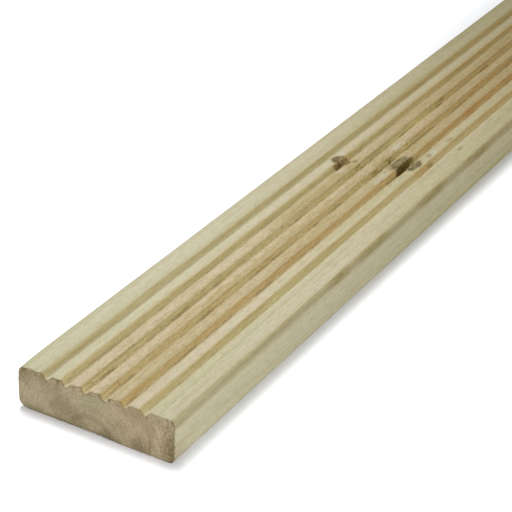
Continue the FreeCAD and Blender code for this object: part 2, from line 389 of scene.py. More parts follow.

# Shares of the ribs and the grooves, from left to right. Ribs: heartwood, and how yellow it is. Grooves:
# amber colour, painted light on the flank, painted shade on the shoulder, specks, cracked root, painted
# highlight on the lip and painted shade at the root.
LAND_PLACE = 51 * MM
RIB_PLACES = np.concatenate([[LAND_PLACE], (GROOVE_CENTRES[:-1] + GROOVE_CENTRES[1:]) / 2, [-LAND_PLACE]])
RIB_HEART = [0.0, 0.05, 0.95, 0.80, 1.0, 0.22, 0.14]
RIB_YELLOW = [0.3, 0.3, 0.15, 0.08, 1.0, 0.15, 0.15]
GROOVE_AMBER = [0.05, 0.28, 0.10, 0.55, 1.0, 0.05]
GROOVE_PAINTED_LIGHT = [0.32, 0.60, 1.0, 0.88, 0.66, 0.98]
GROOVE_PAINTED_SHADE = [0.85, 0.5, 1.0, 1.0, 1.2, 0.35]
GROOVE_SPECKS = [0.10, 0.3, 1.0, 0.45, 0.30, 0.1]
GROOVE_CRACK = [0.1, 0.4, 1.0, 0.8, 0.8, 0.2]
GROOVE_PAINTED_HIGHLIGHT = [0.45, 0.7, 1.0, 1.0, 0.9, 0.9]
GROOVE_ROOT_SHADE = [0.1, 0.3, 1.0, 0.6, 0.35, 0.8]
FACE_HALF = WIDTH / 2 - 1 * MM  # the face's half width, without the side
UNDER_HEIGHT = 3 * MM  # the underside's points lie below this
UNDER_HEART, UNDER_HEART_HALF = 0.7, (36 * MM, 46 * MM)
PITH_Y, PITH_Z = 4 * MM, -5 * MM


def across_face(values, places):
    """Values given at places across the board, blended straight between, at every point of the section."""
    return np.interp(-ring[:, 0], -places, values)


end_inside = np.concatenate([near_inside, far_inside])


def add_mark(name, at_section, at_ends=0):
    """Stores a share on the mesh: each point of the section's, alike along the grain, then the ends'."""
    values = [np.tile(at_section, len(along)), np.broadcast_to(at_ends, len(end_inside))]
    values = np.concatenate(values).astype(np.float32)
    board_mesh.attributes.new(name, "FLOAT", "POINT").data.foreach_set("value", values)


under_heart = 1 - rise(np.abs(ring[:, 0] - PITH_Y), *UNDER_HEART_HALF)
under_heart *= UNDER_HEART * (ring[:, 1] < UNDER_HEIGHT)
on_top = upper & (off_middle < FACE_HALF)
add_mark("heart", np.where(on_top, across_face(RIB_HEART, RIB_PLACES), under_heart))
add_mark("yellow", across_face(RIB_YELLOW, RIB_PLACES))
add_mark("amber", across_face(GROOVE_AMBER, GROOVE_CENTRES))
for name, share in (("rib", rib), ("groove", groove), ("cut", cut), ("eased", eased)):
    add_mark(name, share)
# Of these marks, deep is painted light, shoulder and root are painted shade, and lip is painted light and a
# painted highlight.
groove_marks = [
    ("deep", deep, GROOVE_PAINTED_LIGHT),
    ("shoulder", shoulder, GROOVE_PAINTED_SHADE),
    ("specks", groove, GROOVE_SPECKS),
    ("crack", root, GROOVE_CRACK),
    ("lip", lip, GROOVE_PAINTED_HIGHLIGHT),
    ("root", root, GROOVE_ROOT_SHADE),
]
for name, share, amounts in groove_marks:
    add_mark(name, share * across_face(amounts, GROOVE_CENTRES))
to_outline = np.linalg.norm(end_inside[:, None, 1:] - ring, axis=-1).min(axis=1)
add_mark("to_outline", np.zeros(len(ring)), to_outline / MM)


def feed(tree, node, inputs):
    """Gives each input of a shader node a value or a link."""
    for key, value in inputs.items():
        if isinstance(value, bpy.types.NodeSocket):
            tree.links.new(value, node.inputs[key])
        else:
            node.inputs[key].default_value = value
    return node


def add_node(tree, kind, inputs, **settings):
    """Adds a shader node, sets its properties and feeds it."""
    node = tree.nodes.new(kind)
    for name, value in settings.items():
        setattr(node, name, value)
    return feed(tree, node, inputs)


def calc(tree, operation, *values):
    """One Math node: the operation on one to three values."""
    return add_node(tree, "ShaderNodeMath", dict(enumerate(values)), operation=operation).outputs[0]


def vector(tree, operation, *values):
    """One Vector Math node, for an operation that gives a vector."""
    return add_node(tree, "ShaderNodeVectorMath", dict(enumerate(values)), operation=operation).outputs[0]


def measure(tree, offset):
    """The length of a vector."""
    return add_node(tree, "ShaderNodeVectorMath", {0: offset}, operation="LENGTH").outputs[1]


def mark(tree, name):
    """A share stored on the mesh."""
    return add_node(tree, "ShaderNodeAttribute", {}, attribute_name=name).outputs["Fac"]


def fade(tree, value, low, high):
    """0 at low, 1 at high, eased between. High may be below low."""
    inputs = {"Value": value, "From Min": low, "From Max": high}
    return add_node(tree, "ShaderNodeMapRange", inputs, interpolation_type="SMOOTHSTEP").outputs[0]


def lumpy(tree, place, lumps, **inputs):
    """A noise texture whose lumps have about the given sizes in mm along x, y and z."""
    scaled = vector(tree, "MULTIPLY", place, tuple(1 / length for length in lumps))
    return add_node(tree, "ShaderNodeTexNoise", {"Vector": scaled, "Scale": 1.0, **inputs}).outputs


def noise(tree, place, lumps, detail=2.0):
    """Such noise as a number from 0 to 1."""
    return lumpy(tree, place, lumps, Detail=detail, Roughness=0.55)[0]


def pattern(tree, place, lumps, levels, detail=2.0):
    """How far that number has risen from one level to another, from 0 to 1."""
    return fade(tree, noise(tree, place, lumps, detail), *levels)


def drift(tree, place, lumps, detail):
    """Such noise as a vector, from -0.5 to 0.5 each way."""
    return vector(tree, "SUBTRACT", lumpy(tree, place, lumps, Detail=detail)[1], (0.5, 0.5, 0.5))


def cover(tree, share, under, over):
    """Paints a colour over another, as far as the share says."""
    inputs = {0: share, 6: under, 7: over}
    return add_node(tree, "ShaderNodeMix", inputs, data_type="RGBA").outputs[2]


def tone(tree, share, colour, multiplier):
    """Multiplies a colour, as far as the share says."""
    inputs = {0: share, 6: colour, 7: multiplier}
    return add_node(tree, "ShaderNodeMix", inputs, data_type="RGBA", blend_type="MULTIPLY").outputs[2]


def all_of(tree, *shares):
    """The product of shares."""
    product = shares[0]
    for share in shares[1:]:
        product = calc(tree, "MULTIPLY", product, share)
    return product


def band(tree, value, middle, half_width):
    """1 at the middle, fading to 0 at half a width on both sides."""
    return fade(tree, calc(tree, "ABSOLUTE", calc(tree, "SUBTRACT", value, middle)), half_width, 0.0)


def at_least(tree, least, more, share):
    """least + more x share."""
    return calc(tree, "MULTIPLY_ADD", share, more, least)


def board_place(tree):
    """The point of the board in mm: along from the near end, across from the middle, and up."""
    coordinates = add_node(tree, "ShaderNodeTexCoord", {}).outputs["Object"]
    in_mm = vector(tree, "MULTIPLY", coordinates, (1 / MM, 1 / MM, 1 / MM))
    return vector(tree, "SUBTRACT", in_mm, (NEAR_END / MM, 0, 0))


def parts(tree, place):
    """The three numbers of a place."""
    return add_node(tree, "ShaderNodeSeparateXYZ", {0: place}).outputs


def shaken(tree, place, size, reach):
    """The place moved about by noise, so that outlines drawn from it are uneven."""
    shake = drift(tree, place, (size, size, size), detail=2.0)
    return vector(tree, "ADD", place, vector(tree, "MULTIPLY", shake, (2 * reach, 2 * reach, 2 * reach)))


def oval(tree, place, along, across, half_length, half_width, turn=0.0):
    """oval_distance, worked out by nodes."""
    offset = vector(tree, "SUBTRACT", place, (along, across, 0))
    offset = add_node(tree, "ShaderNodeVectorRotate", {"Vector": offset, "Angle": -turn}).outputs[0]
    return measure(tree, vector(tree, "MULTIPLY", offset, (1 / half_length, 1 / half_width, 0)))


def paint_ovals(tree, paint, place, ovals, edges, wood, colour, *shares):
    """Paints ovals by cover or by tone, one after another. An oval begins at the first edge and is full at
    the second, in half sizes, and its share is multiplied by the other shares."""
    for one in ovals:
        within = fade(tree, oval(tree, place, *one), *edges)
        wood = paint(tree, all_of(tree, within, *shares), wood, colour)
    return wood


def finish_wood(tree, colour, height, strength, depth, roughness, gloss):
    """Gives a wood its colour, a fine relief from the height, its roughness and its gloss."""
    bump = add_node(tree, "ShaderNodeBump", {"Strength": strength, "Distance": depth, "Height": height})
    look = {"Base Color": colour, "Roughness": roughness, "Specular IOR Level": gloss}
    feed(tree, tree.nodes["Principled BSDF"], {**look, "Normal": bump.outputs[0]})


RING_WIDTH = 2.3  # mm, one year's growth
RING_SWELL, SWELL_REACH = 7.0, (2.6, 0.8)  # mm out round a knot, and its half sizes where that is
PITH_SWAY, PITH_SWAY_SIZE = 7.0, (420, 70, 70)
YEARS_CHANGE, YEARS_UNEVEN = 7.0, 2.4  # mm over which good years turn to bad, and the shift in years


def years_noise(tree, distance, change):
    """Noise from 0 to 1 that changes over about so many mm outwards from the pith."""
    inputs = {"W": calc(tree, "DIVIDE", distance, change)}
    return add_node(tree, "ShaderNodeTexNoise", inputs, noise_dimensions="1D").outputs[0]


def growth_rings(tree, place, knots):
    """The distance from the pith in mm, which sways along the grain and swells round the knots, and the
    time of year there, from 0 to 1: the fraction of distance / RING_WIDTH, with uneven years."""
    sway = drift(tree, place, PITH_SWAY_SIZE, detail=1.0)
    sway = vector(tree, "MULTIPLY", sway, (0, PITH_SWAY, PITH_SWAY))
    from_pith = vector(tree, "SUBTRACT", vector(tree, "ADD", place, sway), (0, PITH_Y / MM, PITH_Z / MM))
    distance = measure(tree, vector(tree, "MULTIPLY", from_pith, (0, 1, 1)))
    for knot in knots:
        distance = at_least(tree, distance, RING_SWELL, fade(tree, knot, *SWELL_REACH))
    years = calc(tree, "DIVIDE", distance, RING_WIDTH)
    years = at_least(tree, years, YEARS_UNEVEN, years_noise(tree, distance, YEARS_CHANGE))
    return distance, calc(tree, "FRACT", years)


# The planed wood. Colours are linear, and a tone multiplies the colour under it. A pattern is given by its
# lumps' size in mm along, across and up, and by the two levels of noise where it begins and is full.
FINE = 3.0  # the detail of the finer noises
FACE_HEIGHT = (22.0, 27.0)  # mm up, from the side to the face
KNOT_SHAKE = (6, 3)  # mm, the size of an unevenness and how far it reaches
FAR_ALONG = (430, 600)  # mm along, where heartwood turns yellower and grooves redder
SAPWOOD = (0.424, 0.396, 0.285, 1)
HEART_PINK = (0.404, 0.337, 0.218, 1)
HEART_YELLOW = (0.352, 0.293, 0.162, 1)
BLOTCHES, YELLOW_LEVELS = (24, 4, 4), (0.3, 0.7)
YELLOW_BLOTCHED, YELLOW_LESS, YELLOW_FAR = 0.7, 0.35, 0.35
CLOUDS, CLOUD_LEVELS = (150, 24, 24), (0.3, 0.6)
HEART_LEAST, HEART_CLOUDED = 0.72, 0.35
LATE_RISE, LATE_FALL = (0.45, 0.88), (1.0, 0.92)  # shares of the year
LATE_SHARE, LATE_TONE = 0.4, (0.86, 0.79, 0.68, 1)
FIBRES, FIBRE_LEVELS = (90, 1.4, 1.4), (0.45, 0.75)
FIBRE_LEAST, FIBRE_ON_FACE, FIBRE_TONE = 0.2, 0.5, (0.86, 0.83, 0.76, 1)
MOTTLE, MOTTLE_LEVELS = (8, 1.8, 1.8), (0.42, 0.66)
PORES, PORE_LEVELS = (2.6, 0.9, 0.9), (0.42, 0.64)
MOTTLE_TONE = (0.92, 0.915, 0.89, 1)
HEART_PORE_LEVELS, HEART_PORE_SHARE = (0.46, 0.70), 0.75
GREEN, GREEN_LEVELS, GREEN_TONE = (420, 7, 7), (0.45, 0.70), (0.93, 0.965, 0.88, 1)
FLECKS, FLECK_LEVELS = (15, 1.6, 1.6), (0.60, 0.72)
FLECK_LEAST, FLECK_IN_HEART, FLECK_TONE = 0.15, 0.8, (0.82, 0.74, 0.62, 1)
PALE_TONE = (1.07, 1.06, 1.09, 1)
# Painted light on the groove floors and a painted highlight on the far lips.
LIP_PAINTED_HIGHLIGHT = (1.18, 1.17, 1.15, 1)

planed = bpy.data.materials.new("planed_pine")
planed.use_nodes = True
tree = planed.node_tree
place = board_place(tree)
from_near, _, height_up = parts(tree, place)
on_face = fade(tree, height_up, *FACE_HEIGHT)
far_along = fade(tree, from_near, *FAR_ALONG)
in_heart, in_groove = mark(tree, "heart"), mark(tree, "groove")
off_groove = calc(tree, "SUBTRACT", 1.0, in_groove)
knot_place = shaken(tree, place, *KNOT_SHAKE)
discs = [oval(tree, knot_place, *disc) for disc in KNOT_DISCS]
hearts = [oval(tree, knot_place, *heart) for heart in KNOT_HEARTS]

blotches = noise(tree, place, BLOTCHES)
yellow = at_least(tree, mark(tree, "yellow"), YELLOW_BLOTCHED, fade(tree, blotches, *YELLOW_LEVELS))
yellow = at_least(tree, calc(tree, "SUBTRACT", yellow, YELLOW_LESS), YELLOW_FAR, far_along)
heart_colour = cover(tree, yellow, HEART_PINK, HEART_YELLOW)
heart_share = at_least(tree, HEART_LEAST, HEART_CLOUDED, pattern(tree, place, CLOUDS, CLOUD_LEVELS))
wood = cover(tree, all_of(tree, heart_share, in_heart, off_groove), SAPWOOD, heart_colour)
_, season = growth_rings(tree, place, discs[:2])
late = all_of(tree, fade(tree, season, *LATE_RISE), fade(tree, season, *LATE_FALL), LATE_SHARE)
wood = tone(tree, late, wood, LATE_TONE)
fibres = noise(tree, place, FIBRES, FINE)
fibre_share = at_least(tree, FIBRE_LEAST, FIBRE_ON_FACE, on_face)
wood = tone(tree, all_of(tree, fade(tree, fibres, *FIBRE_LEVELS), fibre_share), wood, FIBRE_TONE)
mottle = noise(tree, place, MOTTLE, FINE)
wood = tone(tree, fade(tree, mottle, *MOTTLE_LEVELS), wood, MOTTLE_TONE)
pores = noise(tree, place, PORES, FINE)
wood = tone(tree, fade(tree, pores, *PORE_LEVELS), wood, MOTTLE_TONE)
heart_pores = all_of(tree, fade(tree, pores, *HEART_PORE_LEVELS), in_heart, HEART_PORE_SHARE)
wood = tone(tree, heart_pores, wood, FLECK_TONE)
wood = tone(tree, pattern(tree, place, GREEN, GREEN_LEVELS), wood, GREEN_TONE)
fleck_share = at_least(tree, FLECK_LEAST, FLECK_IN_HEART, in_heart)
flecks = all_of(tree, pattern(tree, place, FLECKS, FLECK_LEVELS), fleck_share)
wood = tone(tree, flecks, wood, FLECK_TONE)
wood = tone(tree, mark(tree, "rib"), wood, PALE_TONE)
# Painted light on the groove floors and a painted highlight on the far lips.
wood = tone(tree, mark(tree, "lip"), wood, LIP_PAINTED_HIGHLIGHT)

# The grooves are olive to amber, with streaks, cracks and specks. Painted light makes them lighter down the
# flank, and painted shade darkens their shoulders and roots.
OLIVE_TONE = (0.92, 0.85, 0.645, 1)
AMBER_TONE = (0.95, 0.74, 0.445, 1)
WARMTH, WARMTH_LEVELS = (70, 9, 9), (0.08, 0.48)
FAR_GROOVE_TONE = (1.05, 0.97, 0.93, 1)
PAINTED_LIGHT_TONE = (1.78, 1.78, 1.80, 1)
SHOULDER_PAINTED_SHADE = (0.82, 0.80, 0.80, 1)
STREAKS, STREAK_LEVELS, STREAK_TONE = (120, 0.9, 0.9), (0.48, 0.66), (0.84, 0.81, 0.72, 1)
ROOT_PAINTED_SHADE = (0.82, 0.80, 0.73, 1)
CRACKS, CRACK_LEVELS, CRACK_TONE = (34, 9, 9), (0.50, 0.62), (0.60, 0.56, 0.46, 1)
SPECKS, SPECK_LEVELS, SPECK_TONE = (9, 1.4, 1.4), (0.62, 0.72), (0.60, 0.56, 0.42, 1)

warmth = all_of(tree, mark(tree, "amber"), pattern(tree, place, WARMTH, WARMTH_LEVELS))
wood = tone(tree, in_groove, wood, cover(tree, warmth, OLIVE_TONE, AMBER_TONE))
wood = tone(tree, all_of(tree, in_groove, far_along), wood, FAR_GROOVE_TONE)
# Painted light down the lower flank.
wood = tone(tree, mark(tree, "deep"), wood, PAINTED_LIGHT_TONE)
# Painted shade on the shoulders.
wood = tone(tree, mark(tree, "shoulder"), wood, SHOULDER_PAINTED_SHADE)
streaks = all_of(tree, pattern(tree, place, STREAKS, STREAK_LEVELS), in_groove)
wood = tone(tree, streaks, wood, STREAK_TONE)
# Painted shade at the roots.
wood = tone(tree, mark(tree, "root"), wood, ROOT_PAINTED_SHADE)
cracks = all_of(tree, pattern(tree, place, CRACKS, CRACK_LEVELS, FINE), mark(tree, "crack"))
wood = tone(tree, cracks, wood, CRACK_TONE)
specks = all_of(tree, pattern(tree, place, SPECKS, SPECK_LEVELS), mark(tree, "specks"))
wood = tone(tree, specks, wood, SPECK_TONE)

# Stains on the ribs, tones down the side, and the eased edge with its rubbed patches. The side has a warmer
# tint with a little painted shade, painted light on its lower part, and a yellower foot, darker near the
# near end.
# Stains and patches are ovals in mm: along, across, half length, half width. Their edges are in half sizes.
STAINS = [(312, 15.1, 80, 6), (230, -0.5, 150, 3.0), (398, 0, 18, 5.5)]
STAIN_SHAKE, STAIN_EDGES, STAIN_TONE = (12, 6), (1.2, 0.5), (0.87, 0.86, 0.72, 1)
SIDE_HEIGHT, SIDE_TINT_AND_SHADE = (27.5, 25.0), (0.98, 0.97, 0.91, 1)
LOW_LIGHT_HEIGHT, LOW_PAINTED_LIGHT = (15.0, 4.0), (1.10, 1.11, 1.06, 1)
FOOT_HEIGHT, FOOT_ALONG, FOOT_TONE = (9.0, 2.0), (230, 380), (0.95, 0.96, 0.76, 1)
NEAR_FOOT_HEIGHT, NEAR_FOOT_ALONG, NEAR_FOOT_TONE = (20.0, 6.0), (22, 2), (0.86, 0.79, 0.79, 1)
EASED_TONE = (0.755, 0.725, 0.595, 1)
RUBBED = [(219, -59, 17, 5), (272, -59, 27, 6), (373, -59, 26, 6), (456, -59, 26, 6)]
RUBBED_EDGES, RUBBED_TONE = (1.3, 0.3), (0.78, 0.72, 0.56, 1)
RUBBED_LEVELS, RUBBED_LEAST, RUBBED_BLOTCHED = (0.35, 0.6), 0.5, 0.6
FAR_FADE, FAR_TONE = (150, 780), (1.03, 0.98, 0.84, 1)

stain_place = shaken(tree, place, *STAIN_SHAKE)
wood = paint_ovals(tree, tone, stain_place, STAINS, STAIN_EDGES, wood, STAIN_TONE, on_face, off_groove)
# A warmer tint with a little painted shade, all down the side.
wood = tone(tree, fade(tree, height_up, *SIDE_HEIGHT), wood, SIDE_TINT_AND_SHADE)
# Painted light on the side's lower part.
wood = tone(tree, fade(tree, height_up, *LOW_LIGHT_HEIGHT), wood, LOW_PAINTED_LIGHT)
foot = all_of(tree, fade(tree, height_up, *FOOT_HEIGHT), fade(tree, from_near, *FOOT_ALONG))
wood = tone(tree, foot, wood, FOOT_TONE)
near_foot = all_of(tree, fade(tree, height_up, *NEAR_FOOT_HEIGHT), fade(tree, from_near, *NEAR_FOOT_ALONG))
wood = tone(tree, near_foot, wood, NEAR_FOOT_TONE)
edge = mark(tree, "eased")
wood = tone(tree, edge, wood, EASED_TONE)
patchy = at_least(tree, RUBBED_LEAST, RUBBED_BLOTCHED, fade(tree, blotches, *RUBBED_LEVELS))
wood = paint_ovals(tree, tone, stain_place, RUBBED, RUBBED_EDGES, wood, RUBBED_TONE, edge, patchy)
wood = tone(tree, fade(tree, from_near, *FAR_FADE), wood, FAR_TONE)

# Round the knots the grain turns and was torn: pale, green and olive patches, orange resin, light flanks,
# olive swirls and small dark marks, as ovals like the knots.
KNOT_GREEN = (0.388, 0.372, 0.246, 1)
KNOT_OLIVE = (0.340, 0.298, 0.158, 1)
KNOT_PALE, PALE_SHARE = (0.43, 0.395, 0.30, 1), 0.65
ORANGE_TONE = (0.98, 0.86, 0.77, 1)
LIGHT_TONE = (1.13, 1.19, 1.22, 1)
SWIRL_TONE = (0.66, 0.64, 0.52, 1)
MARK_TONE = (0.66, 0.62, 0.46, 1)
RUFFLES, PATCH_LEVELS = (6, 2.4, 2.4), (0.44, 0.60)
PATCH_LEAST, PATCH_RUFFLED = 0.05, 0.65
PATCH_EDGES, SWIRL_EDGES, MARK_EDGES = (1.3, 0.4), (1.3, 0.6), (1.4, 0.4)
MARK_SHAKE = (3, 0.9)
GREEN_PATCHES = [(387, 2.0, 8, 1.8), (403, 2.2, 7, 1.8), (423, 0.6, 7, 1.8)]
OLIVE_PATCHES = [(418, -20.8, 9, 3.0), (417, -21.6, 8, 3.0), (402, -6.4, 10, 2.6)]
PALE_PATCHES = [
    (366, 16.5, 8, 2.4),
    (374, -14.8, 14, 3.4),
    (370, 30.0, 6, 2.0),
    (393, 31.0, 5, 2.0),
    (417, -14.5, 3, 2.6),
    (431, -0.5, 13, 3.2),
    (436, -30, 12, 3.4),
]
ORANGE_PATCHES = [(403, -36.0, 13, 2.8), (391, 23.6, 7, 2.4), (531, -20.4, 17, 2.6)]
LIGHT_PATCHES = [(433, -6.0, 18, 2.8), (470, 9.3, 46, 2.8)]
SWIRLS = [
    (386, 15.5, 3.2, 1.9),
    (380.5, 18.6, 4.5, 1.5),
    (429.5, -29.5, 3.2, 2.0),
    (415, -21.4, 6.5, 1.9, math.radians(24)),
]
DARK_MARKS = [
    (405, -6.0, 2.2, 1.8),
    (406, -6.1, 1.8, 1.1),
    (380.5, 18.4, 4.0, 1.2),
    (403, -4.4, 3.2, 0.8),
    (409, -4.6, 3.0, 0.8),
    (381.3, 10.1, 6, 0.7, math.radians(9.5)),
    (380, -5.0, 7, 0.7),
    (418, -36.0, 6, 0.8),
    (466, -30.5, 6, 1.2),
    (455, -45.0, 4, 1.4),
    (537.5, 10.2, 5, 0.6),
]

ruffle = noise(tree, place, RUFFLES)
uneven = at_least(tree, PATCH_LEAST, PATCH_RUFFLED, fade(tree, ruffle, *PATCH_LEVELS))
mark_place = shaken(tree, place, *MARK_SHAKE)
knot_paints = [
    (cover, knot_place, GREEN_PATCHES, PATCH_EDGES, KNOT_GREEN, uneven),
    (cover, knot_place, OLIVE_PATCHES, PATCH_EDGES, KNOT_OLIVE, uneven),
    (cover, knot_place, PALE_PATCHES, PATCH_EDGES, KNOT_PALE, PALE_SHARE),
    (tone, knot_place, ORANGE_PATCHES, PATCH_EDGES, ORANGE_TONE, 1.0),
    (tone, knot_place, LIGHT_PATCHES, PATCH_EDGES, LIGHT_TONE, 1.0),
    (tone, mark_place, SWIRLS, SWIRL_EDGES, SWIRL_TONE, 1.0),
    (tone, mark_place, DARK_MARKS, MARK_EDGES, MARK_TONE, 1.0),
]
for paint, uneven_place, ovals, edges, colour, share in knot_paints:
    wood = paint_ovals(tree, paint, uneven_place, ovals, edges, wood, colour, on_face, share)

# The knots' discs, ringed and swirled, the slanting figure of the grain round them, and their dark hearts
# in the grooves, with painted shade that darkens them further low down. The discs are grey, olive, green
# and brown.
DISC_COLOURS = [
    (0.168, 0.130, 0.076, 1),
    (0.222, 0.188, 0.104, 1),
    (0.186, 0.154, 0.088, 1),
    (0.300, 0.218, 0.110, 1),
]
DISC_EDGES, DISC_SHARE = (1.22, 0.78), 0.90
DISC_SWIRL_EDGES, DISC_SWIRL_LEVELS = (1.3, 0.9), (0.45, 0.62)
DISC_RING_EDGES, DISC_TURNS, DISC_RUFFLED = (1.3, 1.0), 14.0, 8.0  # turns are in radians a half size
DISC_RING_TONE = (0.76, 0.73, 0.64, 1)
FIGURE, FIGURE_EDGES, FIGURE_SLANT = (402, -4, 58, 42), (1.1, 0.6), math.radians(-20)
FIGURE_LUMPS, FIGURE_LEVELS, FIGURE_TONE = (9, 1.7, 1.7), (0.42, 0.66), (0.86, 0.85, 0.76, 1)
# The hearts' low colours hold painted shade as well as the dark wood.
HEART_LOW_SHADED = [(0.140, 0.100, 0.034, 1), (0.068, 0.043, 0.008, 1)]
HEART_HIGH = [(0.270, 0.165, 0.064, 1), (0.080, 0.060, 0.016, 1)]
HEART_HEIGHTS = [(28.4, 30.2), (28.6, 31.0)]  # mm up, from the low colour to the high one
HEART_EDGES = [(1.35, 0.5), (1.22, 0.75)]
CUT_LEVELS = (0.12, 0.45)

for disc, colour in zip(discs, DISC_COLOURS):
    wood = cover(tree, all_of(tree, fade(tree, disc, *DISC_EDGES), on_face, DISC_SHARE), wood, colour)
    swirled = all_of(tree, fade(tree, disc, *DISC_SWIRL_EDGES), fade(tree, ruffle, *DISC_SWIRL_LEVELS))
    wood = tone(tree, all_of(tree, swirled, on_face), wood, SWIRL_TONE)
    turns = at_least(tree, calc(tree, "MULTIPLY", ruffle, DISC_RUFFLED), DISC_TURNS, disc)
    rings = at_least(tree, 0.5, 0.5, calc(tree, "SINE", turns))
    ringed = all_of(tree, fade(tree, disc, *DISC_RING_EDGES), rings, on_face)
    wood = tone(tree, ringed, wood, DISC_RING_TONE)
slanted = add_node(tree, "ShaderNodeVectorRotate", {"Vector": place, "Angle": FIGURE_SLANT}).outputs[0]
figure = pattern(tree, slanted, FIGURE_LUMPS, FIGURE_LEVELS, FINE)
wood = paint_ovals(tree, tone, place, [FIGURE], FIGURE_EDGES, wood, FIGURE_TONE, on_face, figure)
in_cut = fade(tree, mark(tree, "cut"), *CUT_LEVELS)
heart_looks = zip(hearts, HEART_LOW_SHADED, HEART_HIGH, HEART_HEIGHTS, HEART_EDGES)
for heart, shaded_low_colour, high_colour, heights, edges in heart_looks:
    # Painted shade: the dark heart is darker still low down in the groove.
    dark = cover(tree, fade(tree, height_up, *heights), shaded_low_colour, high_colour)
    wood = cover(tree, all_of(tree, fade(tree, heart, *edges), in_cut, on_face), wood, dark)

# The long faces are dirty where the ends are broken.
BROKEN_SHAKE, BROKEN_REACH, BROKEN_TONE = (3, 1.8), (1.8, 0.2), (0.60, 0.55, 0.46, 1)
HALF_LENGTH = LENGTH / 2 / MM
RELIEF_MOTTLE = 0.5

broken_along = parts(tree, shaken(tree, place, *BROKEN_SHAKE))[0]
from_middle = calc(tree, "ABSOLUTE", calc(tree, "SUBTRACT", broken_along, HALF_LENGTH))
from_end = calc(tree, "SUBTRACT", HALF_LENGTH, from_middle)
wood = tone(tree, fade(tree, from_end, *BROKEN_REACH), wood, BROKEN_TONE)
fine_relief = at_least(tree, fibres, RELIEF_MOTTLE, mottle)
finish_wood(tree, wood, fine_relief, strength=0.4, depth=0.2 * MM, roughness=0.68, gloss=0.06)

# The sawn ends. Heights are in mm up, and places and spans in mm across from the middle.
END_GRAIN = (0.435, 0.364, 0.234, 1)
END_LATE_TONE = (0.86, 0.83, 0.78, 1)
END_MOTTLE_TONE = (0.73, 0.71, 0.67, 1)
END_DARK_TONE = (0.76, 0.73, 0.66, 1)
END_COARSE_TONE = (0.60, 0.56, 0.47, 1)
END_PALE_TONE = (1.10, 1.10, 1.10, 1)
END_GREEN_TONE = (0.87, 0.94, 0.89, 1)
END_BROWN_TONE = (0.91, 0.87, 0.78, 1)
END_LATE, END_LATE_SHARE = (0.2, 0.9), 0.4
GOOD_YEARS, GOOD_LEVELS, GOOD_SHARE = 8.0, (0.40, 0.62), 0.45
RIGHT_PART, RIGHT_SHARE = (4.0, -12.0), 0.55
DARK_ARC, ARC_HALF, ARC_SHARE = 17.0, 3.5, 0.7  # mm from the pith
END_MOTTLE, END_MOTTLE_LEVELS = (18, 18, 18), (0.38, 0.66)
COLUMNS, COLUMN_LEVELS, COLUMN_SHARE = (50, 2.2, 40), (0.42, 0.64), 0.08
END_PORES, DARK_PORES, PALE_PORES, END_PORE_SHARE = (1.2, 1.2, 1.2), (0.46, 0.66), (0.46, 0.30), 0.9
PALE_PART = (-8.0, -22.0)
HEART_EDGE = -42.5  # where the heartwood ends
HEART_EDGE_HALF, SAPWOOD_HEIGHT = 0.5, (19.0, 10.0)
SAPWOOD_PALE, SAPWOOD_STREAKED = 0.9, 0.25
END_STREAKS, END_STREAK_LEVELS = (50, 1.0, 14), (0.45, 0.62)
INSIDE_HEART, INSIDE_HALF, INSIDE_HEIGHT = HEART_EDGE + 8.0, 9.0, (20.0, 8.0)
HEART_LINE, HEART_LINE_HALF, HEART_DARK_SHARE = HEART_EDGE + 0.8, 1.4, 0.8
RIGHT_EDGE, RIGHT_EDGE_HEIGHT, RIGHT_EDGE_SHARE = (-47.0, -58.0), (34.0, 10.0), 0.6
COARSE, COARSE_LEVELS = (1.8, 1.8, 1.8), (0.40, 0.60)
# Stained spots: across, up, half width, half height and tone.
END_SPOTS = [(3, 24, 12, 8, END_GREEN_TONE), (56, 31, 12, 6, END_BROWN_TONE)]
SPOT_EDGES = (1.2, 0.3)
TORN, TORN_LEVELS, TORN_HEIGHT, TORN_ACROSS = (3, 3, 3), (0.45, 0.62), (26.5, 30.5), (-30.0, -16.0)
OUTLINE_WIDTH, OUTLINE_UNEVEN = 1.6, 2.4
OUTLINE_LEAST, OUTLINE_TORN = 0.25, 0.75

sawn_end = bpy.data.materials.new("sawn_end_grain")
sawn_end.use_nodes = True
tree = sawn_end.node_tree
place = board_place(tree)
_, across, height_up = parts(tree, place)
distance, season = growth_rings(tree, place, [])
late = fade(tree, season, *END_LATE)
grain = tone(tree, all_of(tree, late, END_LATE_SHARE), END_GRAIN, END_LATE_TONE)
good_years = fade(tree, years_noise(tree, distance, GOOD_YEARS), *GOOD_LEVELS)
grain = tone(tree, all_of(tree, good_years, GOOD_SHARE), grain, END_LATE_TONE)
on_right = fade(tree, across, *RIGHT_PART)
grain = tone(tree, all_of(tree, late, on_right, RIGHT_SHARE), grain, END_LATE_TONE)
arc = all_of(tree, band(tree, distance, DARK_ARC, ARC_HALF), ARC_SHARE)
grain = tone(tree, arc, grain, END_DARK_TONE)
grain = tone(tree, pattern(tree, place, END_MOTTLE, END_MOTTLE_LEVELS, FINE), grain, END_MOTTLE_TONE)
columns = pattern(tree, place, COLUMNS, COLUMN_LEVELS)
grain = tone(tree, all_of(tree, columns, COLUMN_SHARE), grain, END_LATE_TONE)
pores = noise(tree, place, END_PORES)
grain = tone(tree, all_of(tree, fade(tree, pores, *DARK_PORES), END_PORE_SHARE), grain, END_DARK_TONE)
grain = tone(tree, all_of(tree, fade(tree, pores, *PALE_PORES), END_PORE_SHARE), grain, END_PALE_TONE)

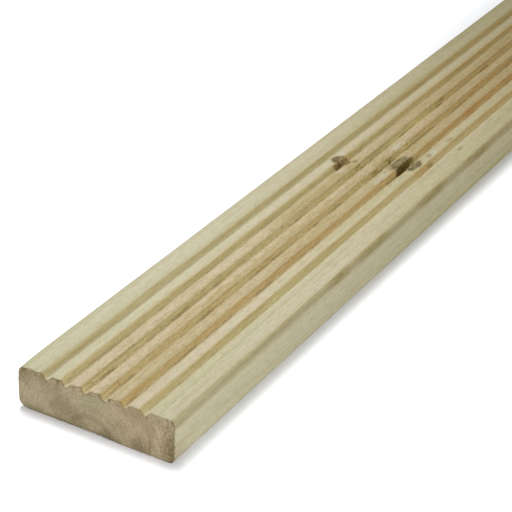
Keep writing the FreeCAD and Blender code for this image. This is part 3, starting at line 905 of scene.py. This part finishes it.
grain = tone(tree, fade(tree, across, *PALE_PART), grain, END_PALE_TONE)
below = fade(tree, height_up, *SAPWOOD_HEIGHT)
past_heart = fade(tree, across, HEART_EDGE + HEART_EDGE_HALF, HEART_EDGE - HEART_EDGE_HALF)
sapwood = all_of(tree, past_heart, below)
grain = tone(tree, all_of(tree, sapwood, SAPWOOD_PALE), grain, END_PALE_TONE)
streaky = pattern(tree, place, END_STREAKS, END_STREAK_LEVELS)
grain = tone(tree, all_of(tree, sapwood, streaky, SAPWOOD_STREAKED), grain, END_LATE_TONE)
inside_heart = band(tree, across, INSIDE_HEART, INSIDE_HALF)
inside_heart = all_of(tree, inside_heart, fade(tree, height_up, *INSIDE_HEIGHT), HEART_DARK_SHARE)
grain = tone(tree, inside_heart, grain, END_DARK_TONE)
heart_line = all_of(tree, band(tree, across, HEART_LINE, HEART_LINE_HALF), below, HEART_DARK_SHARE)
grain = tone(tree, heart_line, grain, END_DARK_TONE)
at_edge = fade(tree, across, *RIGHT_EDGE)
low_edge = all_of(tree, at_edge, fade(tree, height_up, *RIGHT_EDGE_HEIGHT), RIGHT_EDGE_SHARE)
grain = tone(tree, low_edge, grain, END_DARK_TONE)
coarse = pattern(tree, place, COARSE, COARSE_LEVELS)
grain = tone(tree, all_of(tree, at_edge, coarse), grain, END_COARSE_TONE)
for spot_across, spot_up, half_width, half_height, spot_tone in END_SPOTS:
    spot = vector(tree, "SUBTRACT", place, (0, spot_across, spot_up))
    spot = measure(tree, vector(tree, "MULTIPLY", spot, (0, 1 / half_width, 1 / half_height)))
    grain = tone(tree, fade(tree, spot, *SPOT_EDGES), grain, spot_tone)
torn = pattern(tree, place, TORN, TORN_LEVELS)
torn_top = all_of(tree, torn, fade(tree, height_up, *TORN_HEIGHT), fade(tree, across, *TORN_ACROSS))
grain = tone(tree, torn_top, grain, END_COARSE_TONE)
from_outline = calc(tree, "SUBTRACT", mark(tree, "to_outline"), OUTLINE_UNEVEN / 2)
from_outline = at_least(tree, from_outline, OUTLINE_UNEVEN, pores)
outline = fade(tree, from_outline, OUTLINE_WIDTH, 0.0)
outline = all_of(tree, outline, at_least(tree, OUTLINE_LEAST, OUTLINE_TORN, torn))
grain = tone(tree, outline, grain, END_DARK_TONE)
finish_wood(tree, grain, pores, strength=0.6, depth=0.3 * MM, roughness=0.85, gloss=0.2)

board_mesh.materials.append(planed)
board_mesh.materials.append(sawn_end)


def add_object(name, data):
    """Puts an object into the scene, at the origin."""
    added = bpy.data.objects.new(name, data)
    bpy.context.scene.collection.objects.link(added)
    return added


board = add_object("grooved_board", board_mesh)
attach(board, "root")
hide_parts("decking_board")


# The floor
# A plain white studio floor of matt paint, which the board lies on.
# It glows a little, and more away from the board, as an overexposed floor does.

FLOOR_REACH = 30
FLOOR_WHITE = (0.915, 0.925, 0.96, 1)
GLOW_LEAST, GLOW_MORE = 0.08, 0.5
GLOW_FROM = (0.075, 0.16)  # m from the board's middle line, where the glow begins to grow and is full
GLOW_HALF, GLOW_ALONG = LENGTH / 2 - 0.4, 0.12  # past this half length, metres along count so much too

floor_mesh = bpy.data.meshes.new("floor")
floor_corners = FLOOR_REACH * np.array([(-1, -1, 0), (1, -1, 0), (1, 1, 0), (-1, 1, 0)])
floor_mesh.from_pydata(floor_corners.tolist(), [], [(0, 1, 2, 3)])
floor = add_object("floor", floor_mesh)
white = bpy.data.materials.new("white_floor")
white.use_nodes = True
tree = white.node_tree
floor_place = add_node(tree, "ShaderNodeTexCoord", {}).outputs["Object"]
past_middle = vector(tree, "SUBTRACT", vector(tree, "ABSOLUTE", floor_place), (GLOW_HALF, 0, 0))
past_middle = vector(tree, "MAXIMUM", past_middle, (0, 0, 0))
past_end = vector(tree, "SUBTRACT", floor_place, (FAR_END, 0, 0))
past_end = vector(tree, "MULTIPLY", vector(tree, "MAXIMUM", past_end, (0, 0, 0)), (1, 0, 0))
from_board = vector(tree, "MULTIPLY", past_middle, (GLOW_ALONG, 1, 0))
from_board = measure(tree, vector(tree, "ADD", from_board, past_end))
glow = at_least(tree, GLOW_LEAST, GLOW_MORE, fade(tree, from_board, *GLOW_FROM))
matt = {"Base Color": FLOOR_WHITE, "Roughness": 1.0, "Specular IOR Level": 0.0}
glowing = {"Emission Color": (1, 1, 1, 1), "Emission Strength": glow}
feed(tree, tree.nodes["Principled BSDF"], {**matt, **glowing})
floor_mesh.materials.append(white)


# The light
# A white room with three softboxes: one almost over the near end, a weak one low in front on the right that
# fills the edge and the end, and one over the far half with its beam narrowed.

ROOM_WHITE, ROOM_LIGHT = (0.98, 0.99, 1.0, 1), 0.36
world = bpy.data.worlds.new("white_room")
world.use_nodes = True
feed(world.node_tree, world.node_tree.nodes["Background"], {"Color": ROOM_WHITE, "Strength": ROOM_LIGHT})
bpy.context.scene.world = world


def add_softbox(name, place, target, size, power):
    """A square softbox that faces a target and isn't itself seen."""
    light = bpy.data.lights.new(name, "AREA")
    light.size = size
    light.energy = power
    softbox = add_object(name, light)
    softbox.location = place
    softbox.rotation_euler = (Vector(target) - Vector(place)).to_track_quat("-Z", "Y").to_euler()
    softbox.visible_camera = False
    return light


add_softbox("overhead_softbox", place=(-0.70, 0.17, 0.82), target=(-0.80, 0, 0.03), size=0.36, power=7.6)
add_softbox("fill_softbox", place=(-1.22, -0.70, 0.32), target=(-0.84, -0.06, 0.016), size=0.5, power=3.4)
far_light = add_softbox("far_softbox", place=(0.56, 0, 0.95), target=(0.56, 0, 0.03), size=0.6, power=1.7)
far_light.spread = math.radians(60)


# The camera
# Stands in front of the near end, to its right, and looks down on the board along its length.
# Its place, angles and lens are fitted to the board's edges in the photograph.

CAMERA_PLACE = (-1.68167, -0.55057, 0.66993)
VIEW_AZIMUTH, VIEW_FALL, VIEW_ROLL = math.radians(29.2207), math.radians(29.3242), math.radians(-2.0870)
PHOTO_SIDE, FOCAL_PIXELS = 512, 1806.53
SENSOR_WIDTH = 36

level_forward = np.array([math.cos(VIEW_AZIMUTH), math.sin(VIEW_AZIMUTH), 0])
forward = math.cos(VIEW_FALL) * level_forward - math.sin(VIEW_FALL) * np.array([0, 0, 1])
level_right = np.array([math.sin(VIEW_AZIMUTH), -math.cos(VIEW_AZIMUTH), 0])
down = np.cross(forward, level_right)
right = math.cos(VIEW_ROLL) * level_right + math.sin(VIEW_ROLL) * down
up = math.sin(VIEW_ROLL) * level_right - math.cos(VIEW_ROLL) * down
camera_data = bpy.data.cameras.new("camera")
camera_data.sensor_width = SENSOR_WIDTH
camera_data.lens = SENSOR_WIDTH * FOCAL_PIXELS / PHOTO_SIDE
camera = add_object("camera", camera_data)
stand = np.column_stack([right, up, -forward, CAMERA_PLACE])
camera.matrix_world = Matrix(np.vstack([stand, [0, 0, 0, 1]]).tolist())
bpy.context.scene.camera = camera
bpy.context.scene.view_settings.view_transform = "Standard"
